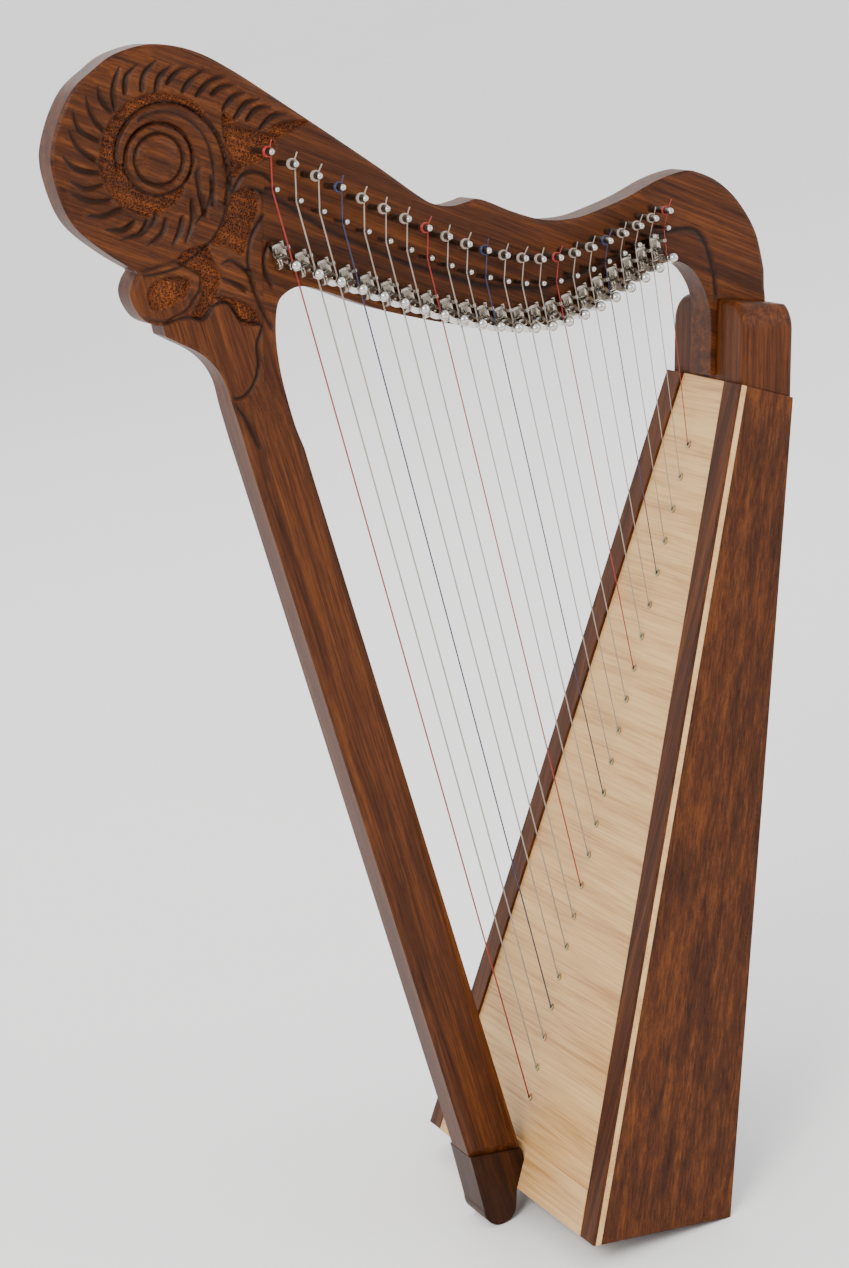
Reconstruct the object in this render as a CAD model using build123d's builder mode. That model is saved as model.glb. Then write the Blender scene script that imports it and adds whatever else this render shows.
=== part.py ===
"""Small lever harp: carved neck, slanting pillar, tapered soundbox, levers, pins and strings.

Side-view sizes are in the harp's own upright, x towards the player and y up from the
soundbox's base.  The harp stands leaning back on the pillar's toe and the base's rear edge.
"""

import os
from math import asin, atan, atan2, cos, degrees, hypot, radians, sin, sqrt, tan

from build123d import *

os.makedirs("parts", exist_ok=True)

# ---- driving dimensions, millimetres and degrees ------------------------------------
strings = 22
body_thickness = 30.4
neck_face = body_thickness / 2

# soundbox
board_lean = 14.7
box_length = 694.0
half_width_bottom = 151.0
half_width_top = 58.0
base_depth = 128.0
rear_top_x = 225.0
rear_top_y = 659.0
board_thickness = 5.0
wall_thickness = 8.0
back_thickness = 5.0
base_thickness = 12.0
rail_height = 2.4
rail_width_bottom = 21.5
rail_width_top = 24.0
end_strip_height = 37.0
end_strip_thickness = 3.0
liner = 12.0
rib_width = 30.0
rib_thickness = 5.0
brace_height = 14.0
brace_width = 10.0
brace_places = (200.0, 400.0)
sound_hole_places = ((135.0, 38.0), (278.0, 33.0), (406.0, 28.0), (518.0, 22.0))

# shoulder block
block_front = 178.0
block_depth = 47.0
block_half_width = 57.0
block_top = 737.0
block_top_drop = 4.0
shoulder_radius = 24.0
block_edge_radius = 5.0

# neck and pillar
scroll_x = -303.0
scroll_y = 858.0
scroll_radius = 83.0
tongue_front = 172.0
tongue_bottom = 674.0
edge_radius = 2.5
foot_top = 35.0
shaft_face = 19.5
toe_x = -18.3
toe_y = -13.9
toe_radius = 14.8
pillar_slope = 0.3165

# strings and pins
first_hole = 74.0
hole_step = 26.3
hole_growth = 0.0265
first_pin_x = -218.0
pin_step = 19.25
pin_shrink = 0.162
pin_curve_x = 5.0
pin_curve_y = 757.2
pin_curve_bass = (70.0, 33.3)
pin_curve_treble = (50.0, 27.0)
string_standoff = 17.0
tuning_gap_bass = 29.5
tuning_gap_step = 0.70
tuning_line_lean = 17.0
bass_radius = 0.65
treble_radius = 0.35
red_strings = range(0, strings, 7)
blue_strings = range(3, strings, 7)

bridge_pin_radius = 1.7
bridge_pin_depth = 8.0
bridge_ball_radius = 2.3
bridge_ball_out = 20.4
tuning_pin_radius = 2.6
tuning_pin_out = 31.0
tuning_hole_clearance = 0.05
square_size = 4.4
square_length = 13.0
collar_length = 3.0
coil_out = 22.5
coil_turns = 3
coil_clearance = 0.08
string_hole_radius = 0.9
eyelet_hole = 1.5
eyelet_sleeve = 2.2
eyelet_flange = 3.4
eyelet_height = 1.0
knot_radius = 2.2

# sharping levers: "out" of the neck, "up" along the string, and near or far to its left
semitone = 1 - 2 ** (-1 / 12)
pivot_out = 7.0
pivot_up = -10.0
ear_radius = 4.0
ear_thickness = 1.8
bracket_near = 1.2
bracket_far = 9.8
hinge_radius = 1.2
hinge_clearance = 0.05
knuckle_radius = 3.0
knuckle_gap = 0.2
blade_near = 1.4
blade_far = 8.2
finger_reach = 18.0
finger_angle = -2.0
finger_radius = 1.2
tip_out = 29.5
tip_up = -11.8
tip_left = 4.0
tip_radius = 4.2
finger_end = -1.0
fret_height = 13.4
fret_end = -2.0
plate_thickness = 2.0

# ---- standing attitude --------------------------------------------------------------
lean = degrees(
    asin(toe_radius / hypot(base_depth - toe_x, toe_y)) - atan2(toe_y, base_depth - toe_x)
)
rise = base_depth * sin(radians(lean))
centre_shift = -77.3

SIDE = Plane(
    origin=(centre_shift, 0, rise),
    x_dir=(cos(radians(lean)), 0, -sin(radians(lean))),
    z_dir=(0, -1, 0),
)


def at(x, y, out=0.0):
    """World point of side-view place (x, y), out mm to the string side of the middle."""
    return SIDE.from_local_coords(Vector(x, y, out))


def facing_front(x, y, tilt):
    """Plane through (x, y), its normal to the pillar side, tilted back by tilt degrees."""
    a = radians(tilt + lean)
    return Plane(origin=at(x, y), x_dir=(0, -1, 0), z_dir=(-cos(a), 0, sin(a)))


def facing_rear(x, y, tilt):
    """Plane through (x, y), its normal to the player's side, tilted back by tilt degrees."""
    a = radians(tilt + lean)
    return Plane(origin=at(x, y), x_dir=(0, 1, 0), z_dir=(cos(a), 0, -sin(a)))


back_lean = degrees(atan((rear_top_x - base_depth) / rear_top_y))
FRONT = facing_front(0, 0, board_lean)
BACK = facing_rear(base_depth, 0, back_lean)
BASE = Plane(origin=at(0, 0), x_dir=(0, -1, 0), z_dir=-SIDE.y_dir)
TOP = Plane(origin=FRONT.origin + FRONT.y_dir * box_length, x_dir=(0, 1, 0), z_dir=FRONT.y_dir)

taper = atan((half_width_bottom - half_width_top) / box_length)


def wall(side):
    """Outer face of a side wall; side is +1 on the string side and -1 on the other."""
    outward = FRONT.x_dir * (side * cos(taper)) + FRONT.y_dir * sin(taper)
    foot = FRONT.origin + FRONT.x_dir * (side * half_width_bottom)
    return Plane(origin=foot, x_dir=FRONT.z_dir, z_dir=outward)


WALLS = (wall(1), wall(-1))
HUGE = 1700.0


def trim(*planes):
    """Cuts the current part off at each plane and keeps the side behind its normal."""
    for plane in planes:
        split(bisect_by=plane, keep=Keep.BOTTOM)


def slab(plane, thickness, *planes):
    """A board of the given thickness behind plane, cut off at the other planes."""
    with BuildSketch(plane) as face:
        Rectangle(HUGE, HUGE)
    extrude(face.sketch, amount=-thickness)
    trim(*planes)


def inset(planes, distance):
    return [plane.offset(-distance) for plane in planes]


# ---- places of the strings' ends ----------------------------------------------------
def hole_place(i):
    """Distance of string i's hole up the soundboard's middle line."""
    return first_hole + hole_step * i + hole_growth * i * (i - 1)


def hole_point(i):
    s = hole_place(i)
    return Vector(s * sin(radians(board_lean)), s * cos(radians(board_lean)))


def bridge_point(i):
    x = first_pin_x + pin_step * i - pin_shrink * i * (i - 1)
    reach, height = pin_curve_bass if x < pin_curve_x else pin_curve_treble
    y = pin_curve_y + height * (sqrt(1 + ((x - pin_curve_x) / reach) ** 2) - 1)
    return Vector(x, y)


def tuning_point(i):
    gap = tuning_gap_bass - tuning_gap_step * i
    a = radians(tuning_line_lean)
    return bridge_point(i) + Vector(-sin(a), cos(a)) * gap


def string_radius(i):
    return bass_radius + (treble_radius - bass_radius) * i / (strings - 1)


def string_line(i):
    """Where string i leaves its bridge pin, and its unit direction down to the hole."""
    pin = bridge_point(i)
    down = (hole_point(i) - pin).normalized()
    left = Vector(down.Y, -down.X)
    start = pin + left * (bridge_pin_radius + string_radius(i) + 0.06)
    return start, (hole_point(i) - start).normalized()


# ---- neck with its scroll head ------------------------------------------------------
notch = (scroll_x - 17, scroll_y - sqrt(scroll_radius**2 - 17**2))
inner_corner = (-209.6, 742)

with BuildPart() as neck:
    with BuildSketch(SIDE):
        with BuildLine():
            head = ThreePointArc(
                notch, (scroll_x - scroll_radius, scroll_y), (scroll_x, scroll_y + scroll_radius)
            )
            crest = Spline(
                head @ 1,
                (-250, 931),
                (-200, 904),
                (-120, 853.5),
                (-67, 820.5),
                (-31, 826),
                (0, 813.5),
                (36, 807),
                (93, 823.5),
                (150, 842),
                (196, 816),
                (218, 776),
                (223.5, block_top - block_top_drop),
                tangents=((1, 0), (0, -1)),
            )
            seat = Polyline(
                crest @ 1,
                (block_front, block_top),
                (block_front, tongue_bottom),
                (tongue_front, tongue_bottom),
                (tongue_front, 716),
            )
            belly = Spline(
                seat @ 1,
                (137, 768.5),
                (90, 750),
                (50, 731.5),
                (8, 722),
                (-34, 723),
                (-100, 734),
                (-167, 755),
                (-190, 761),
                inner_corner,
                tangents=((0, 1), (0, -1)),
            )
            Line(belly @ 1, notch)
        make_face()
    extrude(amount=neck_face, both=True)
    with BuildSketch(SIDE.offset(-neck_face)):
        for i in range(strings):
            with Locations(tuning_point(i)):
                Circle(tuning_pin_radius + tuning_hole_clearance)
    extrude(amount=body_thickness, mode=Mode.SUBTRACT)
    with BuildSketch(SIDE.offset(neck_face)):
        for i in range(strings):
            with Locations(bridge_point(i)):
                Circle(bridge_pin_radius)
    extrude(amount=-bridge_pin_depth, mode=Mode.SUBTRACT)

neck.part.label = "neck"
export_step(neck.part, "parts/neck.step")

# ---- pillar with its carved capital, and the foot block -----------------------------
foot_left = (-236 + (634 - foot_top) * pillar_slope, foot_top)
foot_right = (-189 + (636 - foot_top) * pillar_slope, foot_top)

with BuildPart() as pillar:
    with BuildSketch(SIDE):
        with BuildLine():
            bud = ThreePointArc(notch, (-327, 760), (-311, 738))
            collar = Spline(
                bud @ 1,
                (-300, 727.5),
                (-274, 715),
                (-255, 694),
                (-245, 662),
                (-236, 634),
                tangents=((0.2, -1), (pillar_slope, -1)),
            )
            Polyline(collar @ 1, foot_left, foot_right, (-189, 636))
            Spline(
                (-189, 636),
                (-204, 686),
                (-209.5, 716),
                inner_corner,
                tangents=((-pillar_slope, 1), (0, 1)),
            )
            Line(inner_corner, notch)
        make_face()
    extrude(amount=neck_face, both=True)
    with BuildSketch(SIDE):
        Polygon(foot_left, foot_right, (-189, 636), (-236, 634), align=None)
    extrude(amount=shaft_face, both=True)

pillar.part.label = "pillar"
export_step(pillar.part, "parts/pillar.step")

strip_face = (end_strip_thickness + 0.05) / cos(radians(board_lean))
bend_y = 25.0
bend = (bend_y * tan(radians(board_lean)) - strip_face, bend_y)

with BuildPart() as pillar_foot:
    with BuildSketch(SIDE):
        with BuildLine():
            Polyline(
                (toe_x - toe_radius, toe_y),
                foot_left,
                foot_right,
                bend,
                (-strip_face, 0),
                (toe_x + toe_radius, toe_y),
            )
            ThreePointArc(
                (toe_x + toe_radius, toe_y),
                (toe_x, toe_y - toe_radius),
                (toe_x - toe_radius, toe_y),
            )
        make_face()
    extrude(amount=shaft_face, both=True)

pillar_foot.part.label = "pillar_foot"
export_step(pillar_foot.part, "parts/pillar_foot.step")

# ---- soundbox -----------------------------------------------------------------------
rail_inner_bottom = half_width_bottom - rail_width_bottom
rail_inner_top = half_width_top - rail_width_top
rail_inner_slope = (rail_inner_top - rail_inner_bottom) / box_length
strip_top = rail_inner_bottom + rail_inner_slope * end_strip_height

with BuildPart() as soundboard:
    slab(FRONT, board_thickness, *WALLS, BASE, TOP)
    with BuildSketch(FRONT):
        for i in range(strings):
            with Locations((0, hole_place(i))):
                Circle(eyelet_sleeve + 0.02)
    extrude(amount=-board_thickness, mode=Mode.SUBTRACT)
    with BuildSketch(FRONT):
        Polygon(
            (-rail_inner_bottom, 0),
            (rail_inner_bottom, 0),
            (strip_top, end_strip_height),
            (-strip_top, end_strip_height),
            align=None,
        )
    extrude(amount=end_strip_thickness)
    trim(BASE)

soundboard.part.label = "soundboard"
export_step(soundboard.part, "parts/soundboard.step")

with BuildPart() as edge_rails:
    for side in (1, -1):
        with BuildSketch(FRONT):
            Polygon(
                (side * rail_inner_bottom, 0),
                (side * half_width_bottom, 0),
                (side * half_width_top, box_length),
                (side * rail_inner_top, box_length),
                align=None,
            )
        extrude(amount=rail_height)
    trim(BASE)

edge_rails.part.label = "edge_rails"
export_step(edge_rails.part, "parts/edge_rails.step")

UNDER_BOARD = FRONT.offset(-board_thickness)
INSIDE_BACK = BACK.offset(-back_thickness)
INSIDE_WALLS = inset(WALLS, wall_thickness)

with BuildPart() as side_panels:
    for face in WALLS:
        with BuildSketch(face):
            Rectangle(HUGE, HUGE)
        extrude(amount=-wall_thickness)
    trim(*WALLS, UNDER_BOARD, INSIDE_BACK, BASE, TOP)

side_panels.part.label = "side_panels"
export_step(side_panels.part, "parts/side_panels.step")

with BuildPart() as back_panel:
    slab(BACK, back_thickness, *WALLS, UNDER_BOARD, BASE, TOP)
    with BuildSketch(BACK):
        for place, radius in sound_hole_places:
            with Locations((0, place)):
                Circle(radius)
    extrude(amount=-back_thickness, mode=Mode.SUBTRACT)

back_panel.part.label = "back_panel"
export_step(back_panel.part, "parts/back_panel.step")

with BuildPart() as base_board:
    slab(BASE, base_thickness, *INSIDE_WALLS, UNDER_BOARD, INSIDE_BACK)

base_board.part.label = "base_board"
export_step(base_board.part, "parts/base_board.step")

ABOVE_BASE = BASE.offset(-base_thickness)
LINER_WALLS = inset(INSIDE_WALLS, liner)

with BuildPart() as inner_frame:
    for skin in (UNDER_BOARD, INSIDE_BACK):
        for face in INSIDE_WALLS:
            with BuildPart(mode=Mode.PRIVATE) as strip:
                slab(face, liner, skin, ABOVE_BASE, TOP)
                split(bisect_by=skin.offset(-liner), keep=Keep.TOP)
            add(strip.part)
    for place in brace_places:
        with BuildPart(mode=Mode.PRIVATE) as brace:
            with BuildSketch(INSIDE_BACK):
                with Locations((0, place)):
                    Rectangle(HUGE, brace_width)
            extrude(amount=-brace_height)
            trim(*LINER_WALLS)
        add(brace.part)
    with BuildPart(mode=Mode.PRIVATE) as rib:
        with BuildSketch(UNDER_BOARD):
            with Locations((0, box_length / 2)):
                Rectangle(rib_width, box_length)
            with Locations([(0, hole_place(i)) for i in range(strings)]):
                Circle(eyelet_hole, mode=Mode.SUBTRACT)
        extrude(amount=-rib_thickness)
        trim(ABOVE_BASE)
    add(rib.part)

inner_frame.part.label = "inner_frame"
export_step(inner_frame.part, "parts/inner_frame.step")

# ---- shoulder block -----------------------------------------------------------------
with BuildPart() as shoulder_block:
    block_plane = facing_front(block_front, 0, 0)
    with BuildSketch(block_plane):
        with BuildLine():
            low = rear_top_y - 15
            Polyline(
                (-block_half_width, block_top - shoulder_radius),
                (-block_half_width, low),
                (block_half_width, low),
                (block_half_width, block_top - shoulder_radius),
            )
            RadiusArc(
                (block_half_width, block_top - shoulder_radius),
                (block_half_width - shoulder_radius, block_top),
                -shoulder_radius,
            )
            Line(
                (block_half_width - shoulder_radius, block_top),
                (shoulder_radius - block_half_width, block_top),
            )
            RadiusArc(
                (shoulder_radius - block_half_width, block_top),
                (-block_half_width, block_top - shoulder_radius),
                -shoulder_radius,
            )
        make_face()
    extrude(amount=-block_depth)
    upright = Axis((0, 0, 0), SIDE.y_dir)
    fillet(shoulder_block.edges().filter_by(upright), radius=block_edge_radius)
    seat_slope = degrees(atan(block_top_drop / (223.5 - block_front)))
    split(
        bisect_by=Plane(
            origin=at(block_front, block_top),
            x_dir=(0, 1, 0),
            z_dir=SIDE.y_dir.rotate(Axis((0, 0, 0), (0, 1, 0)), seat_slope),
        ),
        keep=Keep.BOTTOM,
    )
    split(bisect_by=TOP, keep=Keep.TOP)

shoulder_block.part.label = "shoulder_block"
export_step(shoulder_block.part, "parts/shoulder_block.step")

# ---- eyelets and bridge pins --------------------------------------------------------
with BuildPart() as eyelets:
    with BuildSketch(UNDER_BOARD):
        for i in range(strings):
            with Locations((0, hole_place(i))):
                Circle(eyelet_sleeve)
                Circle(eyelet_hole, mode=Mode.SUBTRACT)
    extrude(amount=board_thickness)
    with BuildSketch(FRONT):
        for i in range(strings):
            with Locations((0, hole_place(i))):
                Circle(eyelet_flange)
                Circle(eyelet_hole, mode=Mode.SUBTRACT)
    extrude(amount=eyelet_height)

eyelets.part.label = "eyelets"
export_step(eyelets.part, "parts/eyelets.step")

with BuildPart() as bridge_pin:
    with BuildSketch(Plane.XY.offset(-bridge_pin_depth)):
        Circle(bridge_pin_radius)
    extrude(amount=bridge_pin_depth + bridge_ball_out)
    with Locations((0, 0, bridge_ball_out)):
        Sphere(bridge_ball_radius)

with BuildPart(SIDE.offset(neck_face)) as bridge_pins:
    with Locations([bridge_point(i) for i in range(strings)]):
        add(bridge_pin.part)

bridge_pins.part.label = "bridge_pins"
export_step(bridge_pins.part, "parts/bridge_pins.step")


# ---- strings ------------------------------------------------------------------------
def rod(start, end, radius, start_gap, end_gap):
    """Adds a round rod between two world points, stopping short of each by its gap."""
    run = end - start
    foot = start + run.normalized() * start_gap
    with Locations(Plane(origin=foot, z_dir=run)):
        Cylinder(
            radius,
            run.length - start_gap - end_gap,
            align=(Align.CENTER, Align.CENTER, Align.MIN),
        )


def harp_string(i):
    """Adds string i: coil on its tuning pin, over the bridge pin, down to its knot."""
    r = string_radius(i)
    out = neck_face + string_standoff
    coil_radius = tuning_pin_radius + coil_clearance + r
    coil_pitch = 2 * r + 0.15
    pin = tuning_point(i)
    start, down = string_line(i)
    reach = start - pin
    turn = atan2(reach.Y, reach.X) - asin(coil_radius / reach.length) + radians(90)
    leave = pin + Vector(cos(turn), sin(turn)) * coil_radius
    leave = at(leave.X, leave.Y, neck_face + coil_out - coil_pitch)
    over = at(start.X, start.Y, out)
    eye = FRONT.from_local_coords(Vector(0, hole_place(i), eyelet_height))
    knot = FRONT.from_local_coords(
        Vector(0, hole_place(i), -board_thickness - rib_thickness - knot_radius - 0.05)
    )
    rod(leave, over, r, 0, 0.3)
    rod(over, eye, r, 0.3, 0.6)
    rod(eye, knot, r, 0.6, knot_radius + 0.05)
    with Locations(knot):
        Sphere(knot_radius)
    for turn_number in range(coil_turns):
        centre = at(pin.X, pin.Y, neck_face + coil_out + coil_pitch * turn_number)
        with Locations(Plane(origin=centre, z_dir=(0, 1, 0))):
            Torus(coil_radius, r)


with BuildPart() as strings_red:
    for i in red_strings:
        harp_string(i)

strings_red.part.label = "strings_red"
export_step(strings_red.part, "parts/strings_red.step")

with BuildPart() as strings_blue:
    for i in blue_strings:
        harp_string(i)

strings_blue.part.label = "strings_blue"
export_step(strings_blue.part, "parts/strings_blue.step")

with BuildPart() as strings_natural:
    for i in range(strings):
        if i not in red_strings and i not in blue_strings:
            harp_string(i)

strings_natural.part.label = "strings_natural"
export_step(strings_natural.part, "parts/strings_natural.step")

# ---- tuning pins --------------------------------------------------------------------
with BuildPart() as pin_shape:
    with BuildSketch(Plane.XY.offset(-body_thickness - collar_length)):
        Circle(tuning_pin_radius)
    extrude(amount=collar_length + body_thickness + tuning_pin_out)
    with Locations((0, 0, tuning_pin_out)):
        Sphere(tuning_pin_radius)
    with BuildSketch(Plane.XY.offset(-body_thickness - collar_length)):
        Rectangle(square_size, square_size)
    extrude(amount=-square_length, taper=2)
    with BuildSketch(Plane.XZ):
        with Locations((0, coil_out + 5.5)):
            Circle(string_hole_radius)
    extrude(amount=tuning_pin_radius * 2, both=True, mode=Mode.SUBTRACT)

for i in range(strings):
    with BuildPart(SIDE.offset(neck_face)) as tuning_pin:
        with Locations(tuning_point(i)):
            add(pin_shape.part)
    tuning_pin.part.label = f"tuning_pin_{i + 1:02d}"
    export_step(tuning_pin.part, f"parts/tuning_pin_{i + 1:02d}.step")


# ---- sharping levers ----------------------------------------------------------------
def lever_plane(i):
    """Plane square to lever i's hinge: x out of the neck, y up the string, z to its left."""
    start, down = string_line(i)
    fret = start + down * (semitone * (hole_point(i) - start).length)
    hinge = SIDE.x_dir * down.Y - SIDE.y_dir * down.X
    return Plane(origin=at(fret.X, fret.Y, neck_face), x_dir=(0, -1, 0), z_dir=hinge)


with BuildPart() as bracket:
    for near in (bracket_near, bracket_far - ear_thickness):
        with BuildSketch(Plane.XY.offset(near)):
            with BuildLine():
                rear = Polyline((0, -16), (0, 4), (8, 4))
                front = ThreePointArc(rear @ 1, (6.2, -1), (5.2, -5))
                nose = ThreePointArc(
                    (pivot_out, pivot_up + ear_radius),
                    (pivot_out + ear_radius, pivot_up),
                    (pivot_out, pivot_up - ear_radius),
                )
                Line(front @ 1, nose @ 0)
                Polyline(nose @ 1, (2, -16), (0, -16))
            make_face()
            with Locations((pivot_out, pivot_up)):
                Circle(hinge_radius + hinge_clearance, mode=Mode.SUBTRACT)
        extrude(amount=ear_thickness)
    with BuildSketch(Plane.XY.offset(fret_end)):
        with Locations((plate_thickness / 2, -6)):
            Rectangle(plate_thickness, 20)
    extrude(amount=bracket_far - fret_end)
    with BuildSketch(Plane.XY.offset(bracket_near)):
        with Locations((3.8, 3)):
            Rectangle(7.6, 2)
    extrude(amount=bracket_far - bracket_near)
    with BuildSketch(Plane.XY.offset(fret_end)):
        with Locations((fret_height / 2, 0)):
            Rectangle(fret_height, 2.6)
    extrude(amount=bracket_near - fret_end)

with BuildPart() as lever_bases:
    with Locations([lever_plane(i).location for i in range(strings)]):
        add(bracket.part)

lever_bases.part.label = "lever_bases"
export_step(lever_bases.part, "parts/lever_bases.step")

finger = Vector(cos(radians(finger_angle)), sin(radians(finger_angle))) * finger_reach
knuckle_near = bracket_near + ear_thickness + knuckle_gap
knuckle_far = bracket_far - ear_thickness - knuckle_gap

with BuildPart() as lever_shape:
    with BuildSketch(Plane.XY.offset(blade_near)):
        with BuildLine():
            top = Spline(
                (12.3, -5.5),
                (18, -8.6),
                (28, -9.6),
                tangents=((1, -0.8), (1, 0.1)),
            )
            under = Spline(
                (28, -14),
                (20, -14.8),
                (12.3, -14),
                tangents=((-1, -0.1), (-1, 0.2)),
            )
            Line(top @ 1, under @ 0)
            Line(under @ 1, top @ 0)
        make_face()
    extrude(amount=blade_far - blade_near)
    with Locations((tip_out, tip_up, tip_left)):
        Sphere(tip_radius)
    with BuildSketch(Plane.XY.offset(knuckle_near)):
        with Locations((pivot_out, pivot_up)):
            Circle(knuckle_radius)
        with Locations((pivot_out + 3.4, pivot_up - 0.4)):
            Rectangle(6.6, 4.6)
    extrude(amount=knuckle_far - knuckle_near)
    with BuildSketch(Plane.XY.offset(bracket_near)):
        with Locations((pivot_out, pivot_up)):
            Circle(hinge_radius)
    extrude(amount=bracket_far - bracket_near)
    with BuildSketch(Plane.XY.offset(finger_end)):
        with Locations((pivot_out + finger.X, pivot_up + finger.Y)):
            Circle(finger_radius)
    extrude(amount=blade_near + 2 - finger_end)

for i in range(strings):
    with BuildPart(lever_plane(i)) as lever:
        add(lever_shape.part)
    lever.part.label = f"lever_{i + 1:02d}"
    export_step(lever.part, f"parts/lever_{i + 1:02d}.step")
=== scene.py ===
from math import asin, atan2, cos, hypot, pi, radians, sin, sqrt

import bpy
import numpy as np
from mathutils import Matrix, Vector

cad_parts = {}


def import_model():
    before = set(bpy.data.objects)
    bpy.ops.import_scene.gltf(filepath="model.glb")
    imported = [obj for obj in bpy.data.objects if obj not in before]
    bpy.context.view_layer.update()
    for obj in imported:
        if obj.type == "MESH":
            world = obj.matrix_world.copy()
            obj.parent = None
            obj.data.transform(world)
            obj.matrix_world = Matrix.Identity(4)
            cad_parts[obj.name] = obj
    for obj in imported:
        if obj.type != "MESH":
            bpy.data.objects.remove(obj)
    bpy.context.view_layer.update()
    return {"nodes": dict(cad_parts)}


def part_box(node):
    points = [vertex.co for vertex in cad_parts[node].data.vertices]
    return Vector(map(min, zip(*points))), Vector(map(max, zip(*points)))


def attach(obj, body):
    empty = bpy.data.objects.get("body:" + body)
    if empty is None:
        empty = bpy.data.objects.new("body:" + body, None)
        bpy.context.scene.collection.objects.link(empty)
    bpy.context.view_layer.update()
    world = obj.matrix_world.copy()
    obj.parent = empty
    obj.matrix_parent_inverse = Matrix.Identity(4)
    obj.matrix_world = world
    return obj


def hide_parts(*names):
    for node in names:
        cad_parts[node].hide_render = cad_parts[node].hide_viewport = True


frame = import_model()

nodes = frame["nodes"]
scene = bpy.context.scene

# ---- the harp's own upright axes (mm) to the row frame (m) -----------------------------
BASE_DEPTH = 128.0
TOE = (-18.3, -13.9, 14.8)  # the toe's centre and its radius
HEAD = (-303, 858)  # the scroll's centre
HEAD_RADIUS = 83
LEAN = asin(TOE[2] / hypot(BASE_DEPTH - TOE[0], TOE[1])) - atan2(TOE[1], BASE_DEPTH - TOE[0])
RISE = BASE_DEPTH * sin(LEAN)
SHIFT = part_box("neck")[0][0] * 1000 - (HEAD[0] * cos(LEAN) + HEAD[1] * sin(LEAN) - HEAD_RADIUS)
NECK_FACE = 15.2
BOARD_LEAN = radians(14.7)
STRINGS = 22
STRING_OUT = 17.0  # how far the strings run in front of the neck's face


def world(x, y, out=0.0):
    """A place in the upright side view, out mm towards the strings' side, in the row frame."""
    return Vector((
        (x * cos(LEAN) + y * sin(LEAN) + SHIFT) / 1000,
        -out / 1000,
        (-x * sin(LEAN) + y * cos(LEAN) + RISE) / 1000,
    ))


def upright(place):
    """Back from the row frame to the upright side view."""
    x, z = place.x * 1000 - SHIFT, place.z * 1000 - RISE
    return x * cos(LEAN) - z * sin(LEAN), x * sin(LEAN) + z * cos(LEAN)


def turned(x, y, z):
    """A direction in the upright axes, y away from the strings, turned to the row frame."""
    return Vector((x * cos(LEAN) + z * sin(LEAN), y, -x * sin(LEAN) + z * cos(LEAN)))


def build(name, verts, faces, *mats):
    """A smooth-shaded mesh object in the scene."""
    mesh = bpy.data.meshes.new(name)
    mesh.from_pydata(verts, [], faces)
    mesh.polygons.foreach_set("use_smooth", [True] * len(mesh.polygons))
    for mat in mats:
        mesh.materials.append(mat)
    obj = bpy.data.objects.new(name, mesh)
    scene.collection.objects.link(obj)
    return obj


# ---- materials -------------------------------------------------------------------------
def shader(name):
    """A new material with its nodes, links and main shader."""
    mat = bpy.data.materials.new(name)
    mat.use_nodes = True
    tree = mat.node_tree
    return mat, tree.nodes, tree.links, tree.nodes["Principled BSDF"]


def mapped(n, l, angle, scale, offset=(0, 0, 0)):
    """Object coordinates turned about Y so that local x runs along the grain, then scaled."""
    coord = n.new("ShaderNodeTexCoord")
    turn = n.new("ShaderNodeVectorRotate")
    turn.rotation_type = "Y_AXIS"
    turn.inputs["Angle"].default_value = angle
    l.new(coord.outputs["Object"], turn.inputs["Vector"])
    mapping = n.new("ShaderNodeMapping")
    mapping.inputs["Scale"].default_value = scale
    mapping.inputs["Location"].default_value = offset
    l.new(turn.outputs["Vector"], mapping.inputs["Vector"])
    return mapping.outputs["Vector"]


def noise(n, l, vector, scale=1.0, detail=4.0, distortion=0.0):
    tex = n.new("ShaderNodeTexNoise")
    tex.inputs["Scale"].default_value = scale
    tex.inputs["Detail"].default_value = detail
    tex.inputs["Distortion"].default_value = distortion
    l.new(vector, tex.inputs["Vector"])
    return tex.outputs["Fac"]


def ramp(n, l, fac, stops):
    """Colours looked up by a value, from (position, colour) stops."""
    node = n.new("ShaderNodeValToRGB")
    r = node.color_ramp
    while len(r.elements) < len(stops):
        r.elements.new(0.5)
    for e, (pos, col) in zip(r.elements, stops):
        e.position = pos
        e.color = (*col, 1)
    l.new(fac, node.inputs["Fac"])
    return node.outputs["Color"]


def mix(n, l, fac, a, b, kind="MIX"):
    """Two colours blended, each a socket or plain numbers."""
    node = n.new("ShaderNodeMix")
    node.data_type = "RGBA"
    node.blend_type = kind
    for value, key in ((fac, 0), (a, 6), (b, 7)):
        if hasattr(value, "links"):
            l.new(value, node.inputs[key])
        elif key == 0:
            node.inputs[key].default_value = value
        else:
            node.inputs[key].default_value = (*value, 1)
    return node.outputs[2]


def math(n, l, op, a, b=0.0):
    node = n.new("ShaderNodeMath")
    node.operation = op
    for value, key in ((a, 0), (b, 1)):
        if hasattr(value, "links"):
            l.new(value, node.inputs[key])
        else:
            node.inputs[key].default_value = value
    return node.outputs[0]


def bump(n, l, height, distance, strength=1.0, normal=None):
    node = n.new("ShaderNodeBump")
    node.inputs["Distance"].default_value = distance
    node.inputs["Strength"].default_value = strength
    l.new(height, node.inputs["Height"])
    if normal is not None:
        l.new(normal, node.inputs["Normal"])
    return node.outputs["Normal"]


def soft_edge(n, radius):
    """Shading normal that rounds sharp edges slightly."""
    node = n.new("ShaderNodeBevel")
    node.samples = 4
    node.inputs["Radius"].default_value = radius
    return node.outputs["Normal"]


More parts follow.
